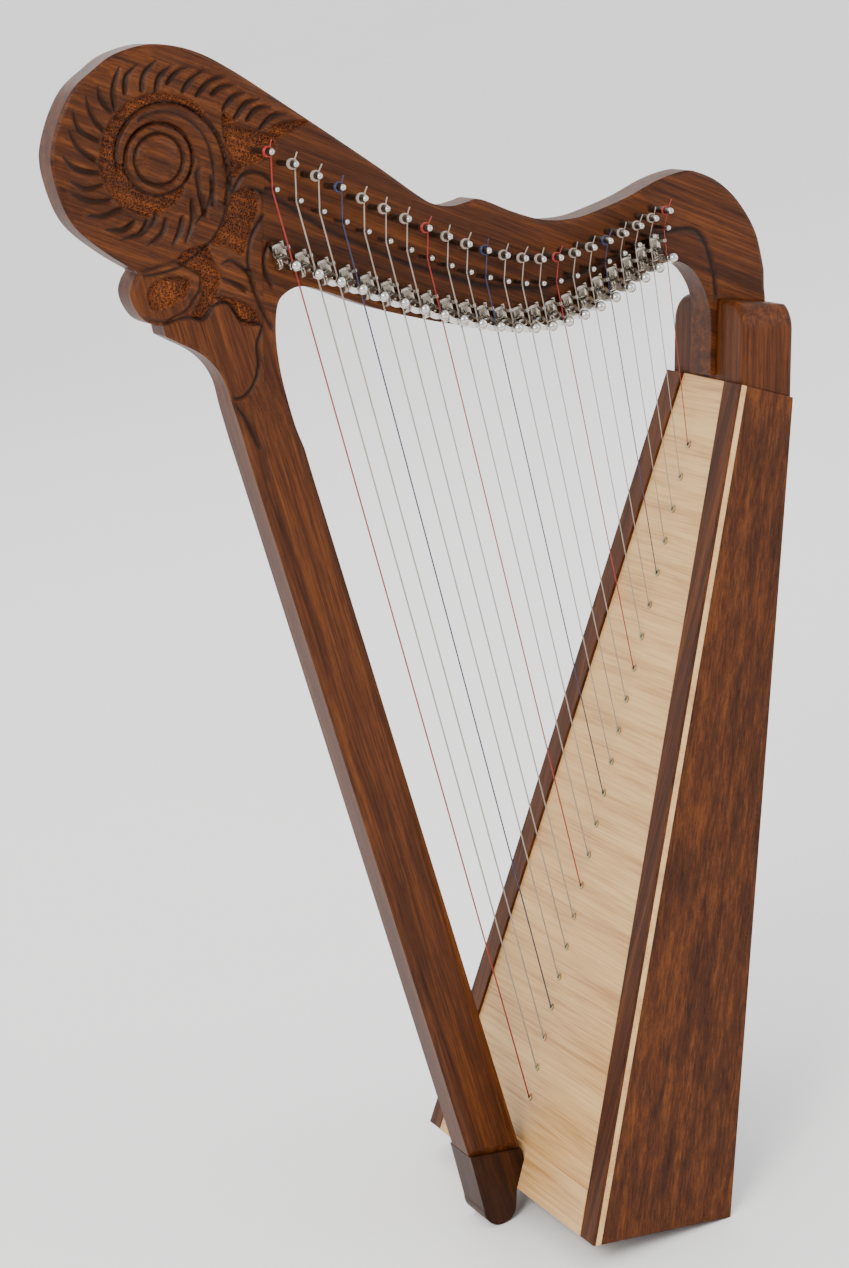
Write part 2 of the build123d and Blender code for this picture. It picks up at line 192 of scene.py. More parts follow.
DARK_WOOD = ((0.0120, 0.0034, 0.0010), (0.0560, 0.0150, 0.0034), (0.1480, 0.0430, 0.0088))
PALE_WOOD = ((0.40, 0.200, 0.064), (0.57, 0.330, 0.122), (0.66, 0.415, 0.178))
PUNCH_SCALE = 560  # punch marks per metre on the stippled ground
FACE_ON_PAINTED_DIM = 0.62  # painted reflection: how bright polished metal is painted seen face on, against its edges, standing in for dark surroundings reflected


def tinted(colour, tint):
    return tuple(c * tint for c in colour)


def dark_wood(name, angle, tint=1.0, edge=0.0, carved=False, offset=(0, 0, 0)):
    """Open-pored reddish-brown wood; carved adds punched ground with painted shade in its dents, and
    painted shade in the grooves.
    """
    mat, n, l, p = shader(name)
    wide = noise(n, l, mapped(n, l, angle, (3.2, 130, 130), offset), 1, 5, 0.25)
    fine = noise(n, l, mapped(n, l, angle, (22, 620, 620), offset), 1, 3, 0.3)
    pore = noise(n, l, mapped(n, l, angle, (90, 2300, 2300), offset), 1, 2)
    dark, mid, pale = (tinted(c, tint) for c in DARK_WOOD)
    streak = math(n, l, "ADD", math(n, l, "MULTIPLY", wide, 0.55), math(n, l, "MULTIPLY", fine, 0.45))
    col = ramp(n, l, streak, [(0.30, dark), (0.49, mid), (0.72, pale)])
    pores = ramp(n, l, pore, [(0.36, (0.35, 0.32, 0.3)), (0.47, (1, 1, 1))])
    col = mix(n, l, 0.55, col, pores, "MULTIPLY")
    height = math(n, l, "MULTIPLY", pore, 0.6)
    height = math(n, l, "ADD", height, math(n, l, "MULTIPLY", fine, 0.5))
    normal = soft_edge(n, edge) if edge else None
    if carved:
        groove_shade = n.new("ShaderNodeAttribute")
        groove_shade.attribute_name = "groove_shade"
        ground = n.new("ShaderNodeAttribute")
        ground.attribute_name = "ground"
        cells = n.new("ShaderNodeTexVoronoi")
        cells.inputs["Scale"].default_value = PUNCH_SCALE
        cells.inputs["Randomness"].default_value = 0.75
        coord = n.new("ShaderNodeTexCoord")
        l.new(coord.outputs["Object"], cells.inputs["Vector"])
        dots = math(n, l, "MULTIPLY", cells.outputs["Distance"], 1.2)
        dots = math(n, l, "MULTIPLY", dots, ground.outputs["Fac"])
        # painted shade and light: each punch dent is painted dark at its centre and lighter around it
        punch_shade = ramp(n, l, cells.outputs["Distance"], [(0.12, (0.08, 0.06, 0.05)), (0.62, (1.9, 1.7, 1.5))])
        col = mix(n, l, ground.outputs["Fac"], col, mix(n, l, 1.0, col, punch_shade, "MULTIPLY"))
        # painted shade: grooves and cuts are darkened towards near black by their weight
        col = mix(n, l, groove_shade.outputs["Fac"], col, (0.010, 0.004, 0.002))
        normal = bump(n, l, dots, 0.0014, 1.0, normal)
    normal = bump(n, l, height, 0.00022, 0.75, normal)
    l.new(col, p.inputs["Base Color"])
    l.new(normal, p.inputs["Normal"])
    rough = math(n, l, "ADD", 0.34, math(n, l, "MULTIPLY", fine, 0.20))
    l.new(rough, p.inputs["Roughness"])
    p.inputs["Specular IOR Level"].default_value = 0.14
    return mat


def pale_wood(name, angle, across=True, tint=1.0):
    """Straight-grained soundboard wood, its grain across the board or along it."""
    mat, n, l, p = shader(name)
    s = (60, 2.2, 60) if across else (2.2, 60, 60)
    f = (700, 16, 700) if across else (16, 700, 700)
    wide = noise(n, l, mapped(n, l, angle, s), 1, 4, 0.4)
    fine = noise(n, l, mapped(n, l, angle, f), 1, 3)
    streak = math(n, l, "ADD", math(n, l, "MULTIPLY", wide, 0.5), math(n, l, "MULTIPLY", fine, 0.5))
    stops = [(place, tinted(c, tint)) for place, c in zip((0.36, 0.50, 0.64), PALE_WOOD)]
    l.new(ramp(n, l, streak, stops), p.inputs["Base Color"])
    l.new(bump(n, l, fine, 0.00015, 0.6, soft_edge(n, 0.0008)), p.inputs["Normal"])
    rough = math(n, l, "ADD", 0.36, math(n, l, "MULTIPLY", wide, 0.2))
    l.new(rough, p.inputs["Roughness"])
    return mat


def metal(name, colour, rough, painted_reflection_dip=0.25, edge=0.0006, dull=None, limit=None):
    """Polished or dull metal; with a limit, it is dull inside and bright past it along -Y."""
    mat, n, l, p = shader(name)
    coord = n.new("ShaderNodeTexCoord")
    cloud = noise(n, l, coord.outputs["Object"], 260, 3)
    fine = noise(n, l, coord.outputs["Object"], 1500, 2)
    p.inputs["Metallic"].default_value = 1.0
    # painted reflection: the base colour is darkened face on and at middle angles, and is full only towards
    # the edges, standing in for dark surroundings reflected in polished metal
    low = tinted(colour, 1 - painted_reflection_dip)
    facing = n.new("ShaderNodeLayerWeight")
    facing.inputs["Blend"].default_value = 0.5
    stops = [(0.05, tinted(colour, FACE_ON_PAINTED_DIM)), (0.42, low), (0.85, colour)]
    col = ramp(n, l, facing.outputs["Facing"], stops)
    col = mix(n, l, 0.6, col, ramp(n, l, cloud, [(0.38, (0.8, 0.78, 0.76)), (0.58, (1, 1, 1))]), "MULTIPLY")
    r = math(n, l, "ADD", rough, math(n, l, "MULTIPLY", cloud, 0.16))
    if dull:
        split = n.new("ShaderNodeSeparateXYZ")
        l.new(coord.outputs["Object"], split.inputs[0])
        inner = math(n, l, "GREATER_THAN", split.outputs["Y"], limit)
        col = mix(n, l, inner, col, ramp(n, l, cloud, [(0.4, tinted(dull, 0.6)), (0.6, dull)]))
        r = math(n, l, "ADD", r, math(n, l, "MULTIPLY", inner, 0.22))
    l.new(col, p.inputs["Base Color"])
    l.new(r, p.inputs["Roughness"])
    l.new(bump(n, l, fine, 0.00002, 0.12, soft_edge(n, edge)), p.inputs["Normal"])
    return mat


def nylon(name, colour, through=0.25):
    """String material, partly letting light through."""
    mat, n, l, p = shader(name)
    coord = n.new("ShaderNodeTexCoord")
    cloud = noise(n, l, coord.outputs["Object"], 60, 3)
    l.new(ramp(n, l, cloud, [(0.35, tinted(colour, 0.78)), (0.65, colour)]), p.inputs["Base Color"])
    l.new(bump(n, l, noise(n, l, coord.outputs["Object"], 3000, 2), 0.00003), p.inputs["Normal"])
    l.new(math(n, l, "ADD", 0.28, math(n, l, "MULTIPLY", cloud, 0.15)), p.inputs["Roughness"])
    p.inputs["Transmission Weight"].default_value = through
    return mat


def grain(degrees_up):
    """Turn that lays the grain at this angle from the upright harp's x axis."""
    return radians(degrees_up) - LEAN


# grain directions, degrees up from the base line
BOARD_UP = 75.3
PILLAR_UP = 107.5
neck_wood = dark_wood("neck_wood", grain(-20), 1.0, 0, True)
pillar_wood = dark_wood("pillar_wood", grain(PILLAR_UP), 1.02, 0, True, (3, 1, 2))
side_wood = dark_wood("side_wood", grain(78), 1.0, 0.0015, False, (5, 2, 1))
rail_wood = dark_wood("rail_wood", grain(BOARD_UP), 0.95, 0.0012, False, (7, 3, 1))
block_wood = dark_wood("block_wood", grain(90), 1.05, 0.002, False, (1, 6, 4))
# painted shade: the foot's wood is darkened to 0.45 for the toe's downward-facing bevels
foot_wood = dark_wood("foot_wood", grain(PILLAR_UP), 0.45, 0.002, False, (2, 8, 3))
spruce = pale_wood("spruce", grain(BOARD_UP))
raw_wood = pale_wood("raw_wood", grain(BOARD_UP), False, 0.8)
pin_metal = metal("pin_metal", (0.66, 0.64, 0.60), 0.10, 0.2, 0.0005, (0.20, 0.165, 0.13), -0.0462)
bridge_metal = metal("bridge_metal", (0.66, 0.64, 0.60), 0.08, 0.2, 0.0004, (0.22, 0.18, 0.14), -0.0335)
lever_metal = metal("lever_metal", (0.82, 0.79, 0.75), 0.06, 0.3, 0.0002)
plate_metal = metal("plate_metal", (0.66, 0.61, 0.54), 0.12, 0.3, 0.0002)
eyelet_metal = metal("eyelet_metal", (0.62, 0.50, 0.28), 0.22, 0.3, 0.0004)
red = nylon("red_nylon", (0.30, 0.012, 0.008), 0.1)
blue = nylon("blue_nylon", (0.020, 0.022, 0.070), 0.0)
natural = nylon("natural_nylon", (0.40, 0.325, 0.265), 0.25)

PAINT = {
    "soundboard": spruce, "edge_rails": rail_wood, "side_panels": side_wood,
    "back_panel": side_wood, "base_board": side_wood, "inner_frame": raw_wood,
    "shoulder_block": block_wood, "pillar_foot": foot_wood, "eyelets": eyelet_metal,
    "bridge_pins": bridge_metal, "lever_bases": plate_metal,
}
for name, obj in nodes.items():
    mat = PAINT.get(name)
    if mat is None:
        mat = pin_metal if name.startswith("tuning_pin") else lever_metal
    obj.data.materials.clear()
    obj.data.materials.append(mat)


# ---- drawing helpers -------------------------------------------------------------------
def smooth(points, per=6, closed=False):
    """Catmull-Rom curve through side-view points."""
    p = np.array(points, float)
    n = len(p)
    out = []
    for i in range(n if closed else n - 1):
        if closed:
            a, b, c, d = p[i - 1], p[i], p[(i + 1) % n], p[(i + 2) % n]
        else:
            a, b, c, d = p[max(i - 1, 0)], p[i], p[i + 1], p[min(i + 2, n - 1)]
        for k in range(per):
            t = k / per
            out.append(0.5 * (
                2 * b + (c - a) * t + (2 * a - 5 * b + 4 * c - d) * t * t
                + (3 * b - a - 3 * c + d) * t ** 3
            ))
    if not closed:
        out.append(p[-1])
    return np.array(out)


def line_distance(q, path, closed=False):
    """Distance from each place to a path, the nearest point and how far along it that is."""
    best = np.full(len(q), 1e9)
    near = np.zeros((len(q), 2))
    along = np.zeros(len(q))
    n = len(path)
    for i in range(n if closed else n - 1):
        a = path[i]
        ab = path[(i + 1) % n] - a
        t = np.clip(((q - a) @ ab) / max(ab @ ab, 1e-9), 0, 1)
        foot = a + t[:, None] * ab
        d = np.hypot(*(q - foot).T)
        hit = d < best
        best[hit] = d[hit]
        near[hit] = foot[hit]
        along[hit] = (i + t[hit]) / n
    return best, near, along


def inside(q, poly):
    """Which places lie within a closed shape."""
    x, y = q.T
    odd = np.zeros(len(q), bool)
    for (x1, y1), (x2, y2) in zip(poly, np.roll(poly, -1, 0)):
        cross = (y1 > y) != (y2 > y)
        odd ^= cross & (x < (x2 - x1) * (y - y1) / (y2 - y1 + 1e-12) + x1)
    return odd


def step(v, a, b):
    """0 below a, 1 above b, eased between."""
    t = np.clip((v - a) / (b - a), 0, 1)
    return t * t * (3 - 2 * t)


def ridge(dist, width):
    """1 on a line, falling off over its width on both sides."""
    return np.exp(-(dist / width) ** 2)


def blob(q, poly, soft):
    """1 well inside a closed shape, 0 outside, with a soft edge."""
    d = line_distance(q, poly, True)[0]
    return step(np.where(inside(q, poly), d, -d), -soft, soft)


# ---- neck and pillar with the relief carving -------------------------------------------
NECK_TOP = [
    (222, 759), (213, 790), (196, 815), (177, 831), (158, 839), (145, 840.5), (121, 834),
    (93, 821), (67, 811.5), (45, 805.5), (18, 805), (-9, 812), (-38, 822.5), (-50, 820.5),
    (-63, 817.8), (-78, 819.8), (-92, 827), (-133, 854), (-215, 905), (-247, 924), (-270, 935),
    (-292, 940.5), (-313, 941), (-337, 934), (-353, 923), (-368, 910), (-378, 893),
    (-385, 872), (-386.5, 856), (-382, 836), (-374, 817), (-362, 803), (-340, 787), (-321, 776),
]
BUD = [(-325, 770), (-327.5, 761), (-325, 751), (-318, 741), (-310, 736.5), (-302, 735)]
COLLAR = [
    (-300, 727), (-290, 722), (-274, 714), (-262, 704), (-253, 690), (-247, 670),
    (-242, 654), (-236, 634),
]
INNER = [
    (-189, 636), (-197, 655), (-204, 681), (-209, 706), (-211, 728), (-209, 748),
    (-201, 757), (-188, 760.5), (-167, 755), (-133, 743), (-99, 734), (-65, 727),
    (-34, 723), (8, 722), (50, 731.5), (90, 750), (118, 764), (137, 768.5), (152, 763),
    (163, 750), (169, 735), (171.5, 716), (172, 674.5),
]
FOOT_TOP = 35.0  # where the pillar meets its foot
SLOPE = 0.3165  # how far right the pillar goes for each mm down
outline = np.vstack([
    smooth(NECK_TOP), smooth(BUD), smooth(COLLAR),
    [(-236 + (634 - FOOT_TOP) * SLOPE, FOOT_TOP), (-189 + (636 - FOOT_TOP) * SLOPE, FOOT_TOP)],
    smooth(INNER),
    [(177.5, 674.5), (177.5, 736.5), (223, 733)],
])
CENTRE = np.array(HEAD, float)
# the scroll's band: outer radius at each angle; then its inner edge, the ring and the boss
SPIRAL = [
    (180, 33), (135, 36), (90, 41), (45, 46), (0, 53), (-30, 62), (-50, 71), (-75, 79), (-100, 86),
]
BAND_INNER = 26.0
RING_OUTER = 26.4
RING_MIDDLE, RING_HALF = 22.6, 3.8
BOSS_RADIUS = 18.8
RELIEF = 1.35  # how much deeper the carving is cut than drawn
GRID = 1.15  # pitch of the carved surface
NECK_EDGE, SHAFT_EDGE = 3.4, 4.4  # rounding of the edges, and how much more on the shaft
SHAFT_EXTRA = 4.3  # the shaft's half thickness over the neck's
BAND_LEFT = -222  # where the sunk band below the stepped line starts
GOUGES = [
    [(-284, 796), (-278, 812), (-278, 827)], [(-294, 795), (-288, 806), (-286, 815)],
    [(-314, 795), (-302, 804), (-299, 814)], [(-318, 803), (-309, 812), (-306, 818)],
    [(-335, 800), (-320, 804), (-313, 814)], [(-346, 808), (-333, 807), (-324, 813)],
    [(-359, 818), (-346, 818), (-333, 823)], [(-371, 834), (-359, 829), (-342, 829)],
    [(-372, 844), (-361, 838), (-348, 840)], [(-378, 862), (-367, 852), (-350, 849)],
    [(-373, 881), (-366, 868), (-353, 858)], [(-369, 895), (-365, 881), (-350, 872)],
    [(-359, 904), (-355, 891), (-346, 879)], [(-350, 911), (-347, 901), (-340, 893)],
    [(-333, 925), (-338, 910), (-337, 894)], [(-320, 926), (-328, 918), (-329, 906)],
    [(-304, 930), (-314, 920), (-316, 908)], [(-292, 926), (-302, 918), (-305, 907)],
    [(-279, 925), (-289, 921), (-296, 913)], [(-266, 923), (-277, 916), (-284, 907)],
    [(-251, 918), (-263, 914), (-273, 904)], [(-244, 911), (-253, 910), (-261, 905)],
    [(-234, 906), (-244, 903), (-252, 894)], [(-223, 901), (-234, 898), (-243, 887)],
    [(-214, 895), (-225, 894), (-233, 886)], [(-200, 890), (-213, 888), (-223, 879)],
    [(-263, 846), (-261, 835), (-261, 824)], [(-271, 852), (-273, 843), (-268, 817)],
    [(-256, 780), (-247, 782), (-234, 773)], [(-255, 769), (-245, 765), (-236, 759)],
]
GROUND = [
    [(-183, 883.5), (-194, 885), (-207, 883), (-215, 878), (-210, 871.5), (-200, 875)],
    [(-252, 892), (-239, 881), (-224, 877), (-210, 871), (-215, 858), (-234, 852), (-245, 843),
     (-247, 858), (-252, 875)],
    [(-245, 831), (-228, 835), (-225, 819), (-232, 802), (-237, 786), (-249, 792), (-262, 796),
     (-252, 811)],
    [(-290, 785), (-267, 795), (-262, 781), (-256, 771), (-258, 761), (-269, 739), (-279, 742),
     (-271, 757), (-273, 773)],
    [(-262, 755.5), (-243, 753), (-228, 744), (-225, 734), (-239, 734), (-249, 748)],
    [(-314, 763), (-305, 770), (-292, 772), (-281, 769), (-284, 758), (-292, 752), (-307, 746),
     (-314, 752)],
]
BUD_RIM = [(-326, 774), (-292, 783), (-272, 772), (-273, 761), (-284, 746), (-301, 738), (-318, 741),
           (-328, 752), (-329, 768)]
LEAF = [(-266, 789), (-252, 789), (-239, 781), (-233, 771), (-232, 759), (-249, 765), (-258, 775)]
SHIELD = [(-305, 735), (-284, 741), (-270, 738.5), (-261, 749), (-249, 750), (-239, 737), (-224, 733),
          (-223, 729), (-227, 717), (-226, 702), (-230, 688), (-241, 678), (-254, 680)]
SWEEPS = [
    [(-221, 814), (-230, 800), (-233, 786), (-232, 770), (-224, 748), (-214, 730)],
    [(-216, 793), (-220, 783), (-219, 773), (-214, 762)],
    [(-246, 846), (-246, 832), (-236, 846), (-222, 846), (-214, 840)],
    [(-252, 680), (-238, 662), (-228, 640)],
]
STEP_LINE = [(-236, 836), (-220, 832), (-199, 821), (-171, 804), (-137, 789), (-104, 776),
             (-69, 765), (-35, 756), (1, 752), (18, 752), (40, 758), (85, 775), (120, 789),
             (141, 794), (157, 792), (167, 778), (174, 755), (177, 736)]


def spiral_radius(theta):
    """Outer radius of the scroll's band at an angle in degrees, falling from 200 to -100."""
    return np.interp(-theta, [-a for a, _ in SPIRAL], [r for _, r in SPIRAL])


def carve_scroll(q):
    """The band, ring, boss and sunk ring of the scroll head: depth, ground and painted groove shade."""
    depth = np.zeros(len(q))
    d = q - CENTRE
    r = np.hypot(*d.T)
    theta = np.degrees(np.arctan2(d[:, 1], d[:, 0]))
    turn = np.where(theta < -100, theta + 360, theta)
    band = spiral_radius(turn)
    # sunk stippled ring between the band and the gouges
    upper = (turn > 40) & (turn < 262)
    outer = np.where(turn > 180, 47 - 4 * (turn - 180) / 80, 46 + 4 * (180 - turn) / 140)
    inner = np.where(turn > 185, 27, band)
    ground = step(r, inner - 0.8, inner + 0.8) * (1 - step(r, outer - 1, outer + 1)) * upper
    lower = (turn <= -98) | (turn >= 262) | ((turn > -100) & (turn < -46))
    shrink = np.interp(turn, [-98, -46], [41, 29])
    low = step(r, 26.2, 27.8) * (1 - step(r, shrink - 1, shrink + 1)) * lower
    ground = np.maximum(ground, low)
    # the band itself, dished between its rims, with one cut along it darkened with painted shade
    on_band = (turn <= 200) & (turn > -34) & (r > BAND_INNER) & (r < band)
    roll = np.clip((r - BAND_INNER) / np.maximum(band - BAND_INNER, 1), 0, 1)
    depth += np.where(on_band, 2.4 * (2 * roll - 1) ** 4 + 0.6, 0)
    inner_cut = ridge(r - (band * 0.62 + 9), 1.1) * ((turn < 120) & (turn > -60))
    depth += 1.5 * inner_cut
    groove_shade = 0.75 * inner_cut
    # ring and boss
    ring = np.clip(np.abs(r - RING_MIDDLE) / RING_HALF, 0, 1) ** 2
    depth += np.where(r < RING_OUTER, 1.9 * ring, 0)
    boss = np.clip(r / BOSS_RADIUS, 0, 1) ** 2.5
    depth += np.where(r < BOSS_RADIUS, -2.6 * (1 - boss) - 1.9 * ring + 1.2, 0)
    for radius, width in ((18.9, 0.9), (26.6, 1.0)):
        cut = ridge(r - radius, width)
        depth += 1.6 * cut
        groove_shade = np.maximum(groove_shade, 0.7 * cut)
    edge = ridge(r - band, 1.1) * (turn < 190)
    depth += 1.5 * edge
    return depth, ground, np.maximum(groove_shade, 0.8 * edge)


def carve(q):
    """Near-face depth below flat, stippled-ground weight and painted groove-shade weight at each place."""
    depth, ground, groove_shade = carve_scroll(q)
    # sunk stippled patches, the raised bud with its cut rim darkened with painted shade, and the domed leaf
    for poly in GROUND:
        ground = np.maximum(ground, blob(q, smooth(poly, 4, True), 0.9))
    bud = np.array(BUD_RIM, float)
    depth -= 1.5 * blob(q, bud, 1.5)
    rim_edge = ridge(line_distance(q, bud, True)[0], 1.2)
    depth += 1.4 * rim_edge
    groove_shade = np.maximum(groove_shade, 0.6 * rim_edge)
    leaf_shape = smooth(LEAF, 4, True)
    leaf = line_distance(q, leaf_shape, True)[0] * inside(q, leaf_shape)
    depth -= np.minimum(leaf * 0.35, 1.8)
    depth += 2.6 * ground
    # comma gouges, deepest at the inner end, darkened along them with painted shade
    for g in GOUGES:
        path = smooth(g, 5)
        near = np.hypot(*(q - path.mean(0)).T) < 26
        dist, _, along = line_distance(q[near], path)
        width = 0.55 + 1.5 * np.sin(np.clip(along * 1.12, 0, 1) * pi * 0.8) ** 1.2
        depth[near] += 2.4 * ridge(dist, width) * (0.35 + 0.65 * along)
        depth[near] -= 0.55 * ridge(dist - 3.4, 2.4) * (1 - ground[near])
        groove_shade[near] = np.maximum(groove_shade[near], 0.9 * ridge(dist, width * 0.8))
    # sweeping cuts and the shield's outline, darkened along them with painted shade
    cuts = [(smooth(s, 5), 1.6, 0.75) for s in SWEEPS] + [(smooth(SHIELD, 4), 1.1, 0.85)]
    for path, width, shade_weight in cuts:
        cut = ridge(line_distance(q, path)[0], width)
        depth += 1.9 * cut
        groove_shade = np.maximum(groove_shade, shade_weight * cut)
    # the sunk band the levers stand on, below the stepped line, which is darkened with painted shade
    dist, near, _ = line_distance(q, smooth(STEP_LINE, 5))
    below = (q[:, 1] < near[:, 1]) & (q[:, 0] > BAND_LEFT) & (q[:, 0] < 170)
    starts = step(q[:, 0], -240, -225)
    depth += 1.5 * ridge(dist, 2.0) * starts + 0.9 * np.where(below, step(dist, -1, 4), 0)
    groove_shade = np.maximum(groove_shade, 0.85 * ridge(dist, 1.9) * starts)
    return depth, ground, np.clip(groove_shade * 1.25, 0, 0.96)


def relief(name, outline, pitch, half, edge, carving, mats):
    """A flat-backed solid: a fine grid over the outline, carved in front, edges rounded."""
    lo = outline.min(0) - 2 * pitch
    hi = outline.max(0) + 2 * pitch
    nx, ny = (np.ceil((hi - lo) / pitch)).astype(int) + 1
    gx, gy = np.meshgrid(np.arange(nx), np.arange(ny), indexing="ij")
    q = np.stack([lo[0] + gx.ravel() * pitch, lo[1] + gy.ravel() * pitch], 1)
    within = inside(q, outline)
    dist, near, _ = line_distance(q, outline, True)
    signed = np.where(within, dist, -dist)
    use = signed > -0.72 * pitch
    snap = use & (signed < 0.3 * pitch)
    q[snap] = near[snap]
    signed[snap] = 0
    index = np.full(len(q), -1)
    index[use] = np.arange(use.sum())
    index = index.reshape(nx, ny)
    a, b, c, d = index[:-1, :-1], index[1:, :-1], index[1:, 1:], index[:-1, 1:]
    keep = (a >= 0) & (b >= 0) & (c >= 0) & (d >= 0)
    quads = np.stack([a[keep], b[keep], c[keep], d[keep]], 1)
    edges = set()
    for f in quads.tolist():
        edges.update((f[i], f[(i + 1) % 4]) for i in range(4))
    rim = [(i, j) for i, j in edges if (j, i) not in edges]
    used = np.flatnonzero(use)
    outer = used[sorted({i for pair in rim for i in pair})]
    q[outer] = near[outer]
    signed[outer] = 0
    q, signed = q[use], signed[use]
    h, e = half(q), edge(q)
    bevel = 0.52 * e * np.clip(1 - signed / e, 0, 1) ** 1.7
    depth, ground, groove_shade = carving(q)
    fade = step(signed, 0, 3)
    front = h - bevel - RELIEF * depth * fade
    back = h - bevel
    n = len(q)
    verts = [world(x, y, z) for (x, y), z in zip(q, front)]
    verts += [world(x, y, -z) for (x, y), z in zip(q, back)]
    faces = quads.tolist() + (quads[:, ::-1] + n).tolist()
    walls = {}
    for i in sorted({i for pair in rim for i in pair}):
        walls[i] = len(verts)
        verts += [verts[i], verts[i + n]]
    faces += [(walls[j], walls[i], walls[i] + 1, walls[j] + 1) for i, j in sorted(rim)]
    obj = build(name, verts, faces, *mats)
    extra = np.zeros(n + 2 * len(walls))
    # stippled ground and painted groove shade, kept on each point for the wood's colour
    for key, value in (("ground", ground), ("groove_shade", groove_shade * fade)):
        att = obj.data.attributes.new(key, "FLOAT", "POINT")
        att.data.foreach_set("value", np.concatenate([value, extra]).astype(np.float32))
    obj.data.validate()
    return obj


SHAFT_RIGHT = 60  # everything left of this and low down is the pillar's shaft


def half_thickness(q):
    shaft = 1 - step(q[:, 1], 640, 700)
    return NECK_FACE + SHAFT_EXTRA * shaft * (q[:, 0] < SHAFT_RIGHT)


def edge_size(q):
    shaft = 1 - step(q[:, 1], 610, 680)
    block = step(q[:, 0], 165, 172) * (1 - step(q[:, 1], 736, 745))
    return (NECK_EDGE + SHAFT_EDGE * shaft * (q[:, 0] < SHAFT_RIGHT)) * (1 - 0.8 * block)


carved = relief("carved_neck_and_pillar", outline, GRID, half_thickness, edge_size, carve,
                (neck_wood, pillar_wood))
# the joint between neck and pillar slants down from the bud to the inner curve
for poly in carved.data.polygons:
    px, py = upright(poly.center)
    joint = 776 - 36 * (px + 321) / 112
    pillar = (px < -190 and py < joint) or (py < 640 and px < SHAFT_RIGHT)
    poly.material_index = 1 if pillar else 0
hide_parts("neck", "pillar")
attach(carved, "frame")


# ---- strings with their coils, tails and knots -----------------------------------------
def hole_place(i):
    """A string's hole, measured up the board."""
    return 74 + 26.3 * i + 0.0265 * i * (i - 1)


def bridge_point(i):
    """A bridge pin's centre."""
    x = -218 + 19.25 * i - 0.162 * i * (i - 1)
    reach, height = (70, 33.3) if x < 5 else (50, 27)
    return Vector((x, 757.2 + height * (sqrt(1 + ((x - 5) / reach) ** 2) - 1)))


def tuning_point(i):
    """A tuning pin's centre, up and to the left of its bridge pin."""
    a = radians(17)
    return bridge_point(i) + Vector((-sin(a), cos(a))) * (29.5 - 0.7 * i)


def tube(points, radius, sides=10):
    """A round tube through points, its frame carried smoothly along."""
    pts = [Vector(p) for p in points]
    verts, faces = [], []
    ahead = (pts[1] - pts[0]).normalized()
    side = ahead.orthogonal().normalized()
    for k, p in enumerate(pts):
        a = pts[max(k - 1, 0)]
        b = pts[min(k + 1, len(pts) - 1)]
        new = (b - a).normalized()
        side = (side - new * side.dot(new)).normalized()
        up = new.cross(side)
        for s in range(sides):
            t = 2 * pi * s / sides
            verts.append(p + (side * cos(t) + up * sin(t)) * radius)
    for k in range(len(pts) - 1):
        for s in range(sides):
            t = (s + 1) % sides
            faces.append((k * sides + s, k * sides + t, (k + 1) * sides + t, (k + 1) * sides + s))
    last = (len(pts) - 1) * sides
    faces.append(tuple(range(sides))[::-1])
    faces.append(tuple(range(last, last + sides)))
    return verts, faces


def joined(name, parts, mat):
    """Several tubes as one object."""
    verts, faces = [], []
    for v, f in parts:
        base = len(verts)
        verts += v
        faces += [tuple(i + base for i in face) for face in f]
    return build(name, verts, faces, mat)


TUNING_PIN_RADIUS = 2.6
BRIDGE_PIN_RADIUS = 1.7
COIL_OUT = 22.5  # where the coil ends on its pin, in front of the neck's face
COIL_TURNS = 4
COIL_SIDES = 14
TAIL_POINTS = 6


def string_parts(i):
    """One string: a free tail, a coil on its pin, then by the bridge pin to a knot."""
    r = 0.65 - 0.3 * i / (STRINGS - 1)
    pin = tuning_point(i)
    bridge = bridge_point(i)
    s = hole_place(i)
    hole = Vector((s * sin(BOARD_LEAN), s * cos(BOARD_LEAN)))
    down = (hole - bridge).normalized()
    start = bridge + Vector((down.y, -down.x)) * (BRIDGE_PIN_RADIUS + r + 0.06)
    coil = TUNING_PIN_RADIUS + 0.08 + r
    reach = start - pin
    turn = atan2(reach.y, reach.x) - asin(coil / reach.length) + pi / 2
    tail, wound = [], []
    top = COIL_OUT + 4.6 + 0.03 * (i % 5)
    lean = 0.5 + 0.25 * ((i * 7) % 5)
    for k in range(TAIL_POINTS):
        t = 1 - k / (TAIL_POINTS - 1)
        tail.append(world(pin.x + lean * t * 2, pin.y + 1.5 + 7.5 * t, NECK_FACE + top + 1.3 * t))
    for k in range(COIL_TURNS * COIL_SIDES + 1):
        left = COIL_TURNS - k / COIL_SIDES
        a = turn + 2 * pi * left
        out = NECK_FACE + COIL_OUT + left * 2.05 * r - 2 * r
        bulge = coil + 0.5 * sin(pi * k / (COIL_TURNS * COIL_SIDES))
        wound.append(world(pin.x + cos(a) * bulge, pin.y + sin(a) * bulge, out))
    over = world(start.x, start.y, NECK_FACE + STRING_OUT)
    n = Vector((-cos(BOARD_LEAN), sin(BOARD_LEAN)))
    eye = world(hole.x + n.x, hole.y + n.y)
    knot = world(hole.x - n.x * 12, hole.y - n.y * 12)
    line = [over, over.lerp(eye, 0.01), over.lerp(eye, 0.5), eye, knot]
    return [tube(tail + wound[:1], r * 0.0009), tube(wound + line, r / 1000)]


# C strings are red and F strings blue
groups = {"strings_red": ([], red), "strings_blue": ([], blue), "strings_natural": ([], natural)}
for i in range(STRINGS):
    kind = "strings_red" if i % 7 == 0 else "strings_blue" if i % 7 == 3 else "strings_natural"
    groups[kind][0].extend(string_parts(i))
for kind, (parts, mat) in groups.items():
    obj = joined(kind.replace("strings", "wound_strings"), parts, mat)
    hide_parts(kind)
    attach(obj, "frame")


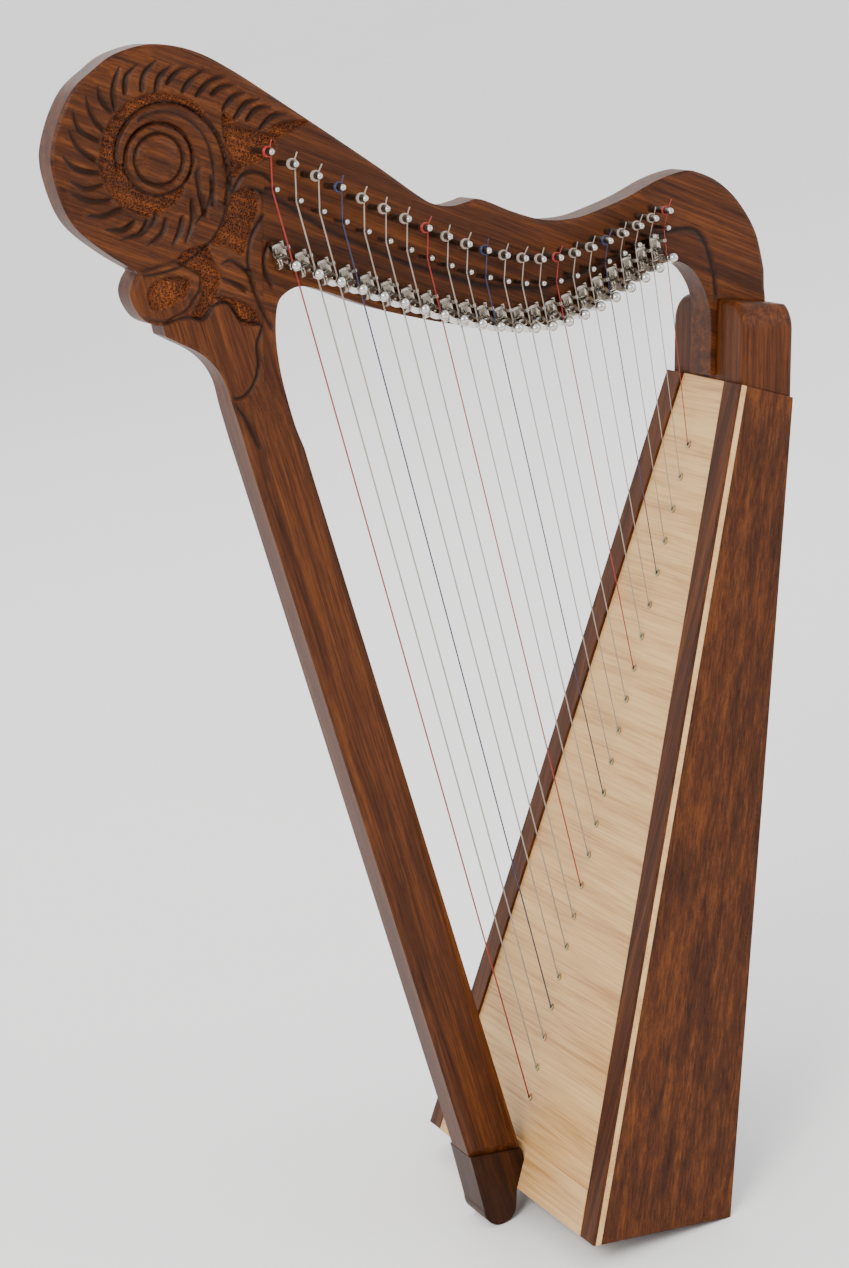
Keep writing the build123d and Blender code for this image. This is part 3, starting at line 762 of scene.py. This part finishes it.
# ---- floor, backdrop, lights and camera ------------------------------------------------
def surround():
    """A pale floor that curves up into a wide bowl all round."""
    profile = [
        (0.0, 0.0), (3.0, 0.0), (7.0, 0.0), (8.6, 0.25), (9.8, 1.1), (10.4, 2.4), (10.6, 9.0),
    ]
    sides = 96
    below = 0.0004
    verts, faces = [], []
    for r, z in profile:
        for s in range(sides):
            a = 2 * pi * s / sides
            verts.append((r * cos(a), r * sin(a), z - below))
    for k in range(len(profile) - 1):
        for s in range(sides):
            t = (s + 1) % sides
            faces.append((k * sides + s, k * sides + t, (k + 1) * sides + t, (k + 1) * sides + s))
    mat, n, l, p = shader("backdrop")
    coord = n.new("ShaderNodeTexCoord")
    cloud = noise(n, l, coord.outputs["Object"], 1.5, 2)
    l.new(ramp(n, l, cloud, [(0.3, (0.93, 0.93, 0.93)), (0.7, (0.95, 0.95, 0.95))]), p.inputs["Base Color"])
    p.inputs["Roughness"].default_value = 0.85
    build("surround", verts, faces, mat)


surround()


def area(name, place, aim, size, power, colour=(1, 1, 1)):
    """A round soft light at a place, facing an aim."""
    data = bpy.data.lights.new(name, "AREA")
    data.shape = "DISK"
    data.size = size
    data.energy = power
    data.color = colour
    obj = bpy.data.objects.new(name, data)
    obj.location = place
    obj.rotation_euler = (Vector(aim) - Vector(place)).to_track_quat("-Z", "Y").to_euler()
    scene.collection.objects.link(obj)


area("key", (-2.3, -2.2, 2.7), (0, 0, 0.6), 1.5, 105, (1.0, 0.96, 0.91))
area("fill", (2.6, -2.0, 1.8), (0, 0, 0.5), 2.2, 34, (0.97, 0.98, 1.0))
area("rim", (0.5, 2.6, 2.6), (0, 0, 0.6), 2.4, 26)
backdrop = bpy.data.worlds.new("studio")
scene.world = backdrop
backdrop.use_nodes = True
backdrop.node_tree.nodes["Background"].inputs["Color"].default_value = (1, 1, 1, 1)
backdrop.node_tree.nodes["Background"].inputs["Strength"].default_value = 1.55

# a long lens, turned to the strings' side and looking slightly down
LENS, SENSOR = 83.43028, 36
TURN, PITCH = radians(-25.437), radians(11.698)
EYE = (-1068.1, 954.7, 2078.4)
camera = bpy.data.cameras.new("camera")
camera.sensor_fit = "VERTICAL"
camera.sensor_height = SENSOR
camera.lens = LENS
eye = bpy.data.objects.new("camera", camera)
ahead = turned(-sin(TURN) * cos(PITCH), cos(TURN) * cos(PITCH), -sin(PITCH))
right = turned(cos(TURN), sin(TURN), 0)
up = right.cross(ahead)
place = world(*EYE)
eye.matrix_world = Matrix((
    (right.x, up.x, -ahead.x, place.x),
    (right.y, up.y, -ahead.y, place.y),
    (right.z, up.z, -ahead.z, place.z),
    (0, 0, 0, 1),
))
scene.collection.objects.link(eye)
scene.camera = eye
